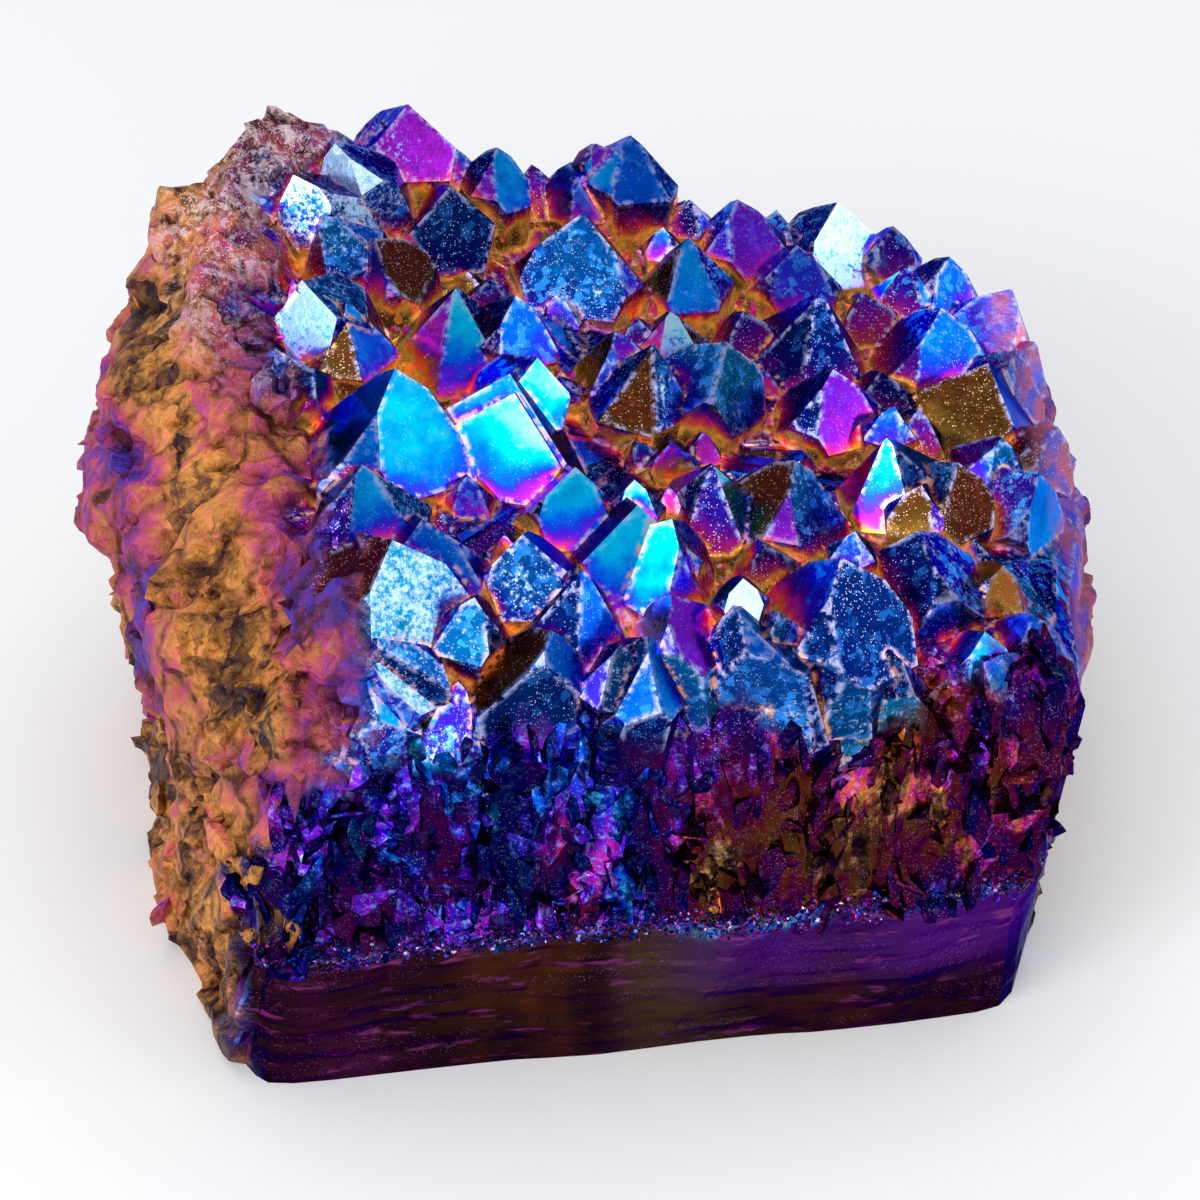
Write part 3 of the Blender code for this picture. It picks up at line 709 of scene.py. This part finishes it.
def grow(cluster, name, plan, material):  # loose pieces over the part of the skin that a mask names
    g = Growth(name)
    density = g.size("Pieces per square metre", plan["perSquareMetre"])
    low = g.size("Smallest", plan["smallest"])
    high = g.size("Largest", plan["largest"])
    along = g.size("Grain", plan["grain"])
    wild = g.size("Disorder", plan["disorder"])
    sink = g.size("Sink", plan["sink"])
    seed = g.size("Seed", plan["seed"])
    geometry = Value(g, g.entry.outputs["Geometry"])
    spread = g.node("GeometryNodeDistributePointsOnFaces", {"distribute_method": "RANDOM"}, {
        "Mesh": geometry, "Selection": g.attribute(plan["where"]).maths("GREATER_THAN", 0.05),
        "Density": density * g.attribute(plan["where"]), "Seed": seed,
    })
    normal = Value(g, spread.socket.node.outputs["Normal"])
    turn = g.aligned((0.0, 0.0, 0.0), "Z", normal)
    if plan["points"]:
        turn = g.aligned(turn, "Z", (0.0, 0.0, 1.0), "AUTO", 0.5)
    else:
        turn = g.aligned(turn, "Y", along, "Z")
    tumble = g.random("FLOAT_VECTOR", (-1.0, -1.0, -1.0), (1.0, 1.0, 1.0), seed + 3)
    tumble = g.node("ShaderNodeVectorMath", {"operation": "SCALE"}, {0: tumble, "Scale": wild})
    turn = g.node("FunctionNodeRotateRotation", {"rotation_space": "LOCAL"}, {0: turn, 1: tumble})
    deep = g.node("ShaderNodeVectorMath", {"operation": "SCALE"}, {0: normal, "Scale": sink * -1.0})
    placed = g.node("GeometryNodeSetPosition", None, {"Geometry": spread, "Offset": deep})
    kinds = kindsOf(name, plan)
    pieces = g.node("GeometryNodeCollectionInfo", {"transform_space": "ORIGINAL"}, {
        "Collection": kinds, "Separate Children": True, "Reset Children": True,
    })
    size = g.random("FLOAT_VECTOR", low, high, seed + 1)
    grown = g.node("GeometryNodeInstanceOnPoints", None, {
        "Points": placed, "Instance": pieces, "Pick Instance": True, "Rotation": turn, "Scale": size,
    })
    own = g.random("FLOAT", 0.0, 1.0, seed + 2)
    kept = g.node("GeometryNodeStoreNamedAttribute", {"data_type": "FLOAT", "domain": "INSTANCE"}, {
        "Geometry": grown, "Name": "tone", "Value": own,
    })
    real = g.node("GeometryNodeRealizeInstances", None, {"Geometry": kept})
    real = g.node("GeometryNodeSetMaterial", None, {"Geometry": real, "Material": material})
    g.plug(g.exit.inputs["Geometry"], real)

    ground = bpy.data.objects.new(name + "Ground", cluster.data)
    bpy.context.scene.collection.objects.link(ground)
    modifier = ground.modifiers.new("grow", "NODES")
    modifier.node_group = g.tree
    for identifier, value in g.sizes.items():
        modifier[identifier] = value
    seen = ground.evaluated_get(bpy.context.evaluated_depsgraph_get())
    mesh = bpy.data.meshes.new_from_object(seen)
    bpy.data.objects.remove(ground)
    for piece in list(kinds.objects):
        bpy.data.objects.remove(piece)
    bpy.data.collections.remove(kinds)
    bpy.data.node_groups.remove(g.tree)
    spare = looseSpare * mm
    for vert in mesh.vertices:
        for axis in range(3):
            vert.co[axis] = min(max(vert.co[axis], cadLow[axis] - spare), cadHigh[axis] + spare)
        vert.co.z = max(vert.co.z, 0.1 * mm)
    mesh.name = name
    mesh.shade_flat()
    grownPiece = bpy.data.objects.new(name, mesh)
    bpy.context.scene.collection.objects.link(grownPiece)
    print(name, len(mesh.polygons), "faces")
    return grownPiece


# each kind of loose piece: half its width, length and thickness in mm before it is scaled, the
# smallest and largest scale along the same axes, the way its length lies, how far it tumbles out of
# that in radians, and how deep its middle sinks in metres
growths = {
    "wallFlakes": {
        "where": "flakeAt", "perSquareMetre": 14000.0,
        "kinds": 20, "half": (1.6, 3.8, 0.8), "points": False,
        "smallest": (0.5, 0.5, 0.6), "largest": (1.5, 1.6, 1.4), "grain": (0.0, -0.57, 0.82),
        "disorder": 0.10, "sink": 0.0006, "seed": 4,
    },
    "frontSplinters": {
        "where": "splinterAt", "perSquareMetre": 150000.0,
        "kinds": 24, "half": (1.2, 2.5, 1.0), "points": False,
        "smallest": (0.4, 0.35, 0.5), "largest": (1.7, 1.9, 1.5), "grain": (0.0, 0.0, 1.0),
        "disorder": 0.22, "sink": 0.0006, "seed": 21,
    },
    "grooveDruse": {
        "where": "druseAt", "perSquareMetre": 500000.0,
        "kinds": 8, "half": (0.42, 0.42, 0.8), "points": True,
        "smallest": (0.5, 0.5, 0.5), "largest": (1.5, 1.5, 1.4), "grain": (0.0, 0.0, 1.0),
        "disorder": 0.5, "sink": 0.0001, "seed": 31,
    },
    "bandGrit": {
        "where": "gritAt", "perSquareMetre": 6000000.0,
        "kinds": 6, "half": (0.26, 0.26, 0.26), "points": False,
        "smallest": (0.4, 0.4, 0.4), "largest": (1.3, 1.3, 1.3), "grain": (0.0, 0.0, 1.0),
        "disorder": 3.0, "sink": 0.0, "seed": 41,
    },
}

looseSpare = 1.6  # mm that loose pieces may stand out of the CAD's box


filmStops = [
    (0.00, (0.08, 0.035, 0.008)),
    (0.07, (0.34, 0.18, 0.035)),
    (0.14, (0.85, 0.42, 0.06)),
    (0.21, (0.92, 0.17, 0.05)),
    (0.29, (0.80, 0.04, 0.22)),
    (0.37, (0.60, 0.02, 0.48)),
    (0.46, (0.28, 0.012, 0.65)),
    (0.56, (0.07, 0.015, 0.75)),
    (0.66, (0.01, 0.045, 0.80)),
    (0.76, (0.0, 0.14, 0.88)),
    (0.85, (0.0, 0.30, 0.92)),
    (0.93, (0.0, 0.58, 0.95)),
    (1.00, (0.30, 0.88, 1.00)),
]

rockStops = [
    (0.00, (0.050, 0.020, 0.006)),
    (0.18, (0.22, 0.090, 0.015)),
    (0.36, (0.58, 0.240, 0.035)),
    (0.48, (0.68, 0.250, 0.070)),
    (0.58, (0.60, 0.130, 0.100)),
    (0.70, (0.48, 0.065, 0.170)),
    (0.82, (0.20, 0.030, 0.220)),
    (1.00, (0.07, 0.025, 0.330)),
]


# the gloss, relief, painted glow and painted glints that every zone's coat shares
coatPlan = {
    "mirrorTint": (0.35, 0.35, 0.75),
    "glow": 0.5,  # how bright the painted glow is: the colours in the grooves shine by themselves
    "bump": 0.45,
    "bumpDepth": 0.0002,  # metres
    "dots": ((4100.0, 0.34), (2300.0, 0.20), (1300.0, 0.10)),  # cells per metre, a dot's part of one
    "dotPatches": 2.2,  # how unevenly the dots are spread
}

# colours of the points' coat: the shadow tints painted shade, the scale patches are painted glitter, the
# glints painted glints and the ridge rims partly a painted highlight
pointColours = {
    "shadow": (0.02, 0.02, 0.04),
    "glitterScales": (0.03, 0.30, 1.0),
    "frost": (0.52, 0.76, 1.0),
    "sideRose": (0.70, 0.20, 0.30),
    "sideBlue": (0.16, 0.16, 0.85),
    "glintBlue": (0.16, 0.30, 0.95),
    "glintPale": (0.85, 0.75, 1.0),
    "glintWarm": (0.95, 0.62, 0.50),
    "rim": (0.58, 0.58, 0.95),
    "seamGold": (0.90, 0.42, 0.12),
    "seamRose": (0.75, 0.42, 0.62),
}

frontColours = {
    "shadow": (0.04, 0.02, 0.03),
    "sheenCool": (0.34, 0.44, 0.90),
    "sheenWarm": (0.62, 0.44, 0.50),
    "glintBlue": (0.12, 0.30, 1.0),
    "glintRose": (0.80, 0.42, 0.80),
}

rockColours = {
    "shadow": (0.14, 0.08, 0.06),
    "bleached": (0.80, 0.62, 0.60),
    "crust": (0.88, 0.80, 0.80),
}
rockLean = 0.61  # radians that the rock's fibres lean back

bandColours = {
    "olive": (0.060, 0.034, 0.008),
    "upper": (0.070, 0.010, 0.170),
    "flecks": (0.26, 0.04, 0.20),
    "glint": (0.60, 0.15, 0.65),
}

bandStops = [
    (0.38, (0.055, 0.015, 0.005)),
    (0.46, (0.018, 0.006, 0.005)),
    (0.54, (0.024, 0.005, 0.009)),
    (0.62, (0.050, 0.008, 0.030)),
    (0.72, (0.075, 0.012, 0.100)),
]


def specksAndGlints(s, place, often):  # tiny grains as dots of uneven size: painted glints on the glittering coats, pale crust grains on the rock
    dense = s.grain(place, 260.0, 4.0, 0.65)
    often = (dense - 0.5) * coatPlan["dotPatches"] + often
    dots = 0.0
    for scale, large in coatPlan["dots"]:
        near = s.cells(place, scale)
        pick = s.red(Value(s, near.socket.node.outputs["Color"]))
        dots = (1 - near.between(large * 0.35, large)) * (pick + often).between(0.62, 0.80) + dots
    return dots.clamped()


def crystalLook(s, place):
    colours = pointColours
    broad = s.grain(place, 90.0, 2.0)
    mottle = s.grain(place, 340.0, 4.0)
    fine = s.grain(place, 1300.0, 3.0)
    seen = s.attribute("openness")
    sparkle = s.attribute("facetSparkle")
    shade = s.attribute("facetShade")

    # the film gets thinner from the open facet down to its foot in the groove
    rise = (seen + (broad - 0.5) * 0.3).between(0.18, 0.93)
    foot = 1 - rise
    film = s.attribute("facetFilm") * rise + (broad - 0.5) * 0.14 + (mottle - 0.5) * (foot * 0.4 + 0.06)
    film = film + (fine - 0.5) * 0.07 + 0.05
    film = film + (mottle * 0.3 - film) * s.attribute("nest")
    # painted light: the facet's painted brightness, raised towards the foot so that the grooves look lit
    light = (shade * (mottle + 0.5)).atLeast(foot * foot * 0.9).clamped()
    coat = s.shaded(s.ramp(film.clamped(), filmStops), light, colours["shadow"])

    # flat scale patches on the sparkling facets, partly the coat's own blue and partly painted glitter, then
    # frost and the rosy side
    glitterScales = (s.red(s.cells(place, 1250.0, output="Color")) + (mottle - 0.5) * 0.9).between(0.62, 1.0)
    glitterScales = glitterScales * sparkle * shade * film.between(0.45, 0.62) * 2.6
    coat = s.mix(glitterScales.clamped(), coat, colours["glitterScales"])
    frost = s.grain(place, 1900.0, 4.0, 0.7) + (mottle - 0.5) * 0.5 + s.attribute("facetPale") * 1.2
    frost = frost + s.attribute("frostAt") * 0.14
    coat = s.mix(frost.between(0.66, 0.86) * rise * 0.85, coat, colours["frost"])
    side = s.mix(mottle.between(0.40, 0.62), colours["sideRose"], colours["sideBlue"])
    coat = s.mix(s.attribute("lilac") * 0.7, coat, side)

    # painted glitter and glints, pale ridge rims that are partly wear and partly painted highlight where the
    # ridge is open, and pale lines along seams
    dots = specksAndGlints(s, place, (sparkle - 0.6) * 0.16) * (sparkle * 0.9 + foot * 0.5 + 0.1).clamped()
    glint = s.mix((fine + broad - 0.5).between(0.42, 0.62), colours["glintBlue"], colours["glintPale"])
    glint = s.mix(film.between(0.20, 0.50), colours["glintWarm"], glint)
    coat = s.mix(dots * 0.9, coat, glint)
    rim = (1 - s.attribute("ridge").between(0.05, 0.65)) * (fine + mottle * 0.4).between(0.63, 0.80)
    coat = s.mix(rim * seen.between(0.4, 0.8) * 0.6, coat, colours["rim"])
    seam = (1 - s.attribute("seam").between(0.10, 0.70)) * (fine + mottle * 0.4).between(0.62, 0.84)
    seamColour = s.mix(broad.between(0.42, 0.58), colours["seamGold"], colours["seamRose"])
    coat = s.mix(seam * 0.8, coat, seamColour)

    height = s.grain(place, 1500.0, 2.0) * (sparkle * 0.3 + 0.03) + s.tilted(place, 1000.0) * sparkle * 0.6
    return {
        "colour": coat,
        # painted glow: the feet of the facets shine by themselves, most in the grooves
        "glow": s.mix(foot * foot, black, coat),
        "metal": 1.0,
        "rough": sparkle * 0.12 + 0.12,
        "height": height,
    }


def frontLook(s, place):  # near black, with painted blue glints on the left and brown ones on the right
    colours = frontColours
    warm = s.attribute("warm")
    upper = s.attribute("upperFront")
    fine = s.grain(place, 1300.0, 3.0)
    crag = s.grain(s.stretched(place, (170.0, 170.0, 60.0)), 1.0, 6.0, 0.66)
    lit = s.grain(s.stretched(place, (240.0, 240.0, 120.0), (0.0, 0.4, 0.0)), 1.0, 6.0, 0.72)
    film = (crag - 0.5) * (warm * 0.5 + 1.2) + (fine - 0.5) * 0.25 + (s.attribute("tone") - 0.5) * 0.24
    film = film - warm * 0.26 + upper * 0.12 + 0.60
    # painted light: random patches of brightness, a little brighter towards the top and darker to the right,
    # which also light the painted sheen and glints
    light = lit + (s.attribute("faceTone") - 0.5) * 0.34 + upper * 0.06 - warm * 0.08
    light = light.between(0.51, 0.73) * 0.92 + 0.045
    coat = s.shaded(s.ramp(film.clamped(), filmStops), light.clamped(), colours["shadow"])
    sheen = s.mix(warm, colours["sheenCool"], colours["sheenWarm"])
    coat = s.mix(fine.between(0.52, 0.68) * light.clamped() * 0.65, coat, sheen)
    dots = specksAndGlints(s, place, 0.06) * (light * 2.0 + 0.3).clamped()
    glint = s.mix((crag + warm * 0.2).between(0.40, 0.66), colours["glintBlue"], colours["glintRose"])
    height = s.grain(place, 1500.0, 2.0) * 0.75 + s.tilted(place, 1000.0) * 3.0
    height = height + s.tilted(s.stretched(place, (420.0, 420.0, 170.0)), 1.0) * 6.0
    return {
        "colour": s.mix(dots * 0.7, coat, glint),
        "glow": black,
        "metal": 1.0,
        "rough": 0.25,
        "height": height,
    }


def rockLook(s, place):  # ochre in the hollow and low down, violet and rose elsewhere
    colours = rockColours
    raised = s.attribute("raised")
    own = s.attribute("tone") * 0.5 + s.attribute("faceTone") * 0.5
    lean = (rockLean, 0.0, 0.0)
    fibres = s.grain(s.stretched(place, (480.0, 800.0, 130.0), lean), 1.0, 4.0, 0.6)
    lumps = s.grain(place, 95.0, 5.0, 0.65)
    pits = s.grain(place, 950.0, 4.0, 0.75)
    warped = s.vector("ADD", place, s.vector("SCALE", s.noiseVector(place, 260.0), 0.0022))
    slabPlace = s.stretched(warped, (150.0, 230.0, 90.0), lean)
    slabs = s.tilted(slabPlace, 1.0)
    creases = s.cells(slabPlace, 1.0, "DISTANCE_TO_EDGE").between(0.0, 0.14)
    chips = s.tilted(s.stretched(warped, (520.0, 620.0, 330.0), (rockLean, 0.2, 0.0)), 1.0)

    film = s.attribute("violet") * 0.42 + (lumps - 0.5) * 1.1 + (fibres - 0.5) * 0.20
    film = film + (pits - 0.5) * 0.45 + chips * 0.25 + raised * 0.04 + slabs * 0.40
    film = film + (s.attribute("blockTone") - 0.5) * 0.25 + (own - 0.5) * 0.25 + 0.34
    # painted shade and light: darker in hollows and along the creases between slabs, lighter on raised parts
    # and towards one side of each slab
    light = s.attribute("openness").between(0.25, 0.85) * 0.50 + (pits - 0.5) * 1.5 + raised * 0.14
    light = light + slabs * 0.8 + chips * 0.6 + (own - 0.5) * 0.3 + creases * 0.45 - 0.12
    rock = s.shaded(s.ramp(film.clamped(), rockStops), light.clamped(), colours["shadow"])
    crust = s.attribute("crust")
    bleached = crust * (pits + (lumps - 0.5) * 0.8).between(0.44, 0.62)
    rock = s.mix(bleached * 0.75, rock, colours["bleached"])
    dots = specksAndGlints(s, place, crust * 0.62 - 0.2)
    return {
        "colour": s.mix(dots * (crust * 0.8 + 0.15), rock, colours["crust"]),
        "glow": black,
        "metal": 0.25,
        "rough": 0.52,
        "height": slabs * 18.0 + chips * 9.0 + pits * 6.0 + fibres * 9.0,
    }


def bandLook(s, place):
    colours = bandColours
    streaks = s.grain(s.stretched(place, (45.0, 45.0, 500.0)), 1.0, 5.0, 0.6)
    patches = s.grain(s.stretched(place, (42.0, 42.0, 22.0)), 1.0, 4.0, 0.55)
    flecks = s.grain(s.stretched(place, (150.0, 150.0, 700.0)), 1.0, 3.0, 0.6)
    film = patches * 0.9 + streaks * 0.15 - s.attribute("warm") * 0.02
    cloudy = (patches + streaks * 0.4).between(0.45, 0.80)
    coat = s.ramp(film.clamped(), bandStops)
    coat = s.mix(s.attribute("olive") * cloudy * 0.9, coat, colours["olive"])
    coat = s.mix(s.attribute("upperBand") * cloudy * 0.9, coat, colours["upper"])
    coat = s.mix(flecks.between(0.58, 0.70) * 0.6, coat, colours["flecks"])
    # painted glints along the streaks
    dots = specksAndGlints(s, place, 0.04) * streaks.between(0.45, 0.60) * 0.4
    return {
        "colour": s.mix(dots, coat, colours["glint"]),
        "glow": black,
        "metal": 1.0,
        "rough": 0.27,
        "height": streaks * 0.6 + s.tilted(place, 1000.0) * 0.3,
    }


# the look of each zone, in the order in which they cover one another
looks = {"points": crystalLook, "front": frontLook, "rocky": rockLook, "band": bandLook}


def coatMaterial(name, parts):  # the coat of one zone, or of several that fade into one another
    s = Shader(name)
    place = s.place()
    look = looks[parts[0]](s, place)
    for zone in parts[1:]:
        mask = s.attribute(zone)
        over = looks[zone](s, place)
        for side in ("colour", "glow"):
            look[side] = s.mix(mask, look[side], over[side])
        for side in ("metal", "rough", "height"):
            look[side] = mask * (over[side] - look[side]) + look[side]
    s.set(Base_Color=look["colour"], Metallic=look["metal"], Roughness=look["rough"])
    s.set(Specular_Tint=coatPlan["mirrorTint"], IOR=1.5)
    # painted glow in the grooves of the points
    if "points" in parts:
        s.set(Emission_Color=look["glow"], Emission_Strength=coatPlan["glow"])
    s.set(Normal=s.bump(look["height"], coatPlan["bump"], coatPlan["bumpDepth"]))
    return s.material


def dressCluster(cluster):  # a plain zone gets its own coat, and only the borders get the mixed one
    mesh = cluster.data
    corners = np.empty(len(mesh.loops), dtype=np.int32)
    mesh.loops.foreach_get("vertex_index", corners)
    clear, full = {}, {}
    for zone in ("front", "rocky", "band"):
        values = np.empty(len(mesh.vertices), dtype=np.float32)
        mesh.attributes[zone].data.foreach_get("value", values)
        mask = values[corners].reshape(-1, 3)
        clear[zone] = mask.max(axis=1) < 0.02
        full[zone] = mask.min(axis=1) > 0.98
    plain = {
        "points": clear["front"] & clear["rocky"] & clear["band"],
        "front": full["front"] & clear["rocky"] & clear["band"],
        "rocky": full["rocky"] & clear["band"],
        "band": full["band"],
    }
    coats = {"borders": coatMaterial("auraBorders", list(looks))}
    chosen = np.zeros(len(mesh.polygons), dtype=np.int32)
    for slot, (zone, faces) in enumerate(plain.items(), 1):
        coats[zone] = coatMaterial("aura" + zone.capitalize(), [zone])
        chosen[faces] = slot
    for coat in coats.values():
        mesh.materials.append(coat)
    mesh.polygons.foreach_set("material_index", chosen)
    print("faces with each coat", np.bincount(chosen).tolist())
    return {"frontSplinters": coats["front"], "wallFlakes": coats["rocky"]}


def druseMaterial():  # the small points in the grooves
    s = Shader("grooveDruseCoat")
    place = s.place()
    tone = s.attribute("tone")
    seen = s.attribute("openness")
    fine = s.grain(place, 1500.0, 3.0)
    film = tone * 0.30 + seen * 0.5 + (fine - 0.5) * 0.10
    coat = s.ramp(film.clamped(), filmStops)
    pale = (tone * 7.0).maths("FRACT").between(0.55, 0.95)
    coat = s.mix(pale * 0.5, coat, (0.80, 0.62, 0.55))
    s.set(Base_Color=coat, Metallic=0.6, Roughness=0.22, IOR=1.55)
    # painted glow: the small points shine by themselves
    s.set(Emission_Color=coat, Emission_Strength=0.15)
    s.set(Normal=s.bump(fine, 0.3, 0.0001))
    return s.material


def gritMaterial():  # the glittering line on top of the band: its grains painted lit or dark at random, the brightest with a painted highlight
    s = Shader("bandGritCoat")
    place = s.place()
    tone = s.attribute("tone")
    fine = s.grain(place, 2500.0, 2.0)
    coat = s.ramp((tone * 0.45 + 0.32 + (fine - 0.5) * 0.2).clamped(), filmStops)
    lit = (tone * 11.0).maths("FRACT") ** 2.5
    coat = s.shaded(coat, lit, (0.06, 0.05, 0.08))
    coat = s.mix(lit.between(0.75, 1.0) * 0.6, coat, (0.85, 0.75, 0.95))
    s.set(Base_Color=coat, Metallic=0.9, Roughness=0.16, IOR=1.55)
    return s.material


def makeStage():
    bpy.ops.mesh.primitive_plane_add(size=6.0, location=(0, 0, 0))
    floor = bpy.context.object
    floor.name = "floor"
    s = Shader("paleFloor")
    s.set(Base_Color=(0.86, 0.86, 0.86), Roughness=0.7)
    s.surface.inputs["Specular IOR Level"].default_value = 0.1
    floor.data.materials.append(s.material)


studio = {
    "worldColour": (0.80, 0.84, 0.90),
    "worldStrength": 0.68,
    # each light: place in metres, width and height in metres, power in watts, colour
    "lights": [
        ((-0.50, -0.75, 0.46), (1.60, 1.00), 8.4, (1.0, 0.99, 0.97)),
        ((0.05, 0.10, 1.00), (0.90, 0.70), 3.0, (1.0, 1.0, 1.0)),
        ((-0.68, -0.40, 0.46), (0.32, 0.32), 1.4, (1.0, 0.97, 0.92)),
        ((0.88, -0.27, 0.38), (0.60, 0.45), 1.3, (0.97, 0.98, 1.0)),
    ],
}


def makeLights():
    world = bpy.data.worlds.new("studio")
    bpy.context.scene.world = world
    world.use_nodes = True
    background = world.node_tree.nodes["Background"]
    background.inputs["Color"].default_value = (*studio["worldColour"], 1)
    background.inputs["Strength"].default_value = studio["worldStrength"]
    for i, (place, size, power, colour) in enumerate(studio["lights"]):
        lamp = bpy.data.lights.new("softbox%d" % i, "AREA")
        lamp.shape = "RECTANGLE"
        lamp.size, lamp.size_y = size
        lamp.energy = power
        lamp.color = colour
        holder = bpy.data.objects.new("softbox%d" % i, lamp)
        holder.location = place
        holder.rotation_euler = (Vector(place) - Vector((0, 0, 0.03))).to_track_quat("Z", "Y").to_euler()
        bpy.context.scene.collection.objects.link(holder)


lens = {
    "azimuth": -7.0,
    "elevation": 42.0,
    "distance": 0.320,
    "target": (0.00025, -0.00283, 0.0289),
    "length": 92.5,
}


def makeCamera():
    camera = bpy.data.objects.new("camera", bpy.data.cameras.new("camera"))
    bpy.context.scene.collection.objects.link(camera)
    azimuth, elevation = math.radians(lens["azimuth"]), math.radians(lens["elevation"])
    back = Vector((
        math.sin(azimuth) * math.cos(elevation),
        -math.cos(azimuth) * math.cos(elevation),
        math.sin(elevation),
    ))
    camera.location = Vector(lens["target"]) + back * lens["distance"]
    camera.rotation_euler = back.to_track_quat("Z", "Y").to_euler()
    camera.data.lens = lens["length"]
    camera.data.sensor_width = 36.0
    camera.data.clip_start = 0.01
    bpy.context.scene.camera = camera


def main():
    cluster = makeCluster()
    finishes = dressCluster(cluster)
    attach(cluster, "root")
    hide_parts("quartz_cluster")
    print("cluster made")
    finishes["grooveDruse"] = druseMaterial()
    finishes["bandGrit"] = gritMaterial()
    for name, plan in growths.items():
        piece = grow(cluster, name, plan, finishes[name])
        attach(piece, "root")
    makeStage()
    makeLights()
    makeCamera()
    bpy.context.scene.view_settings.view_transform = "Standard"


main()
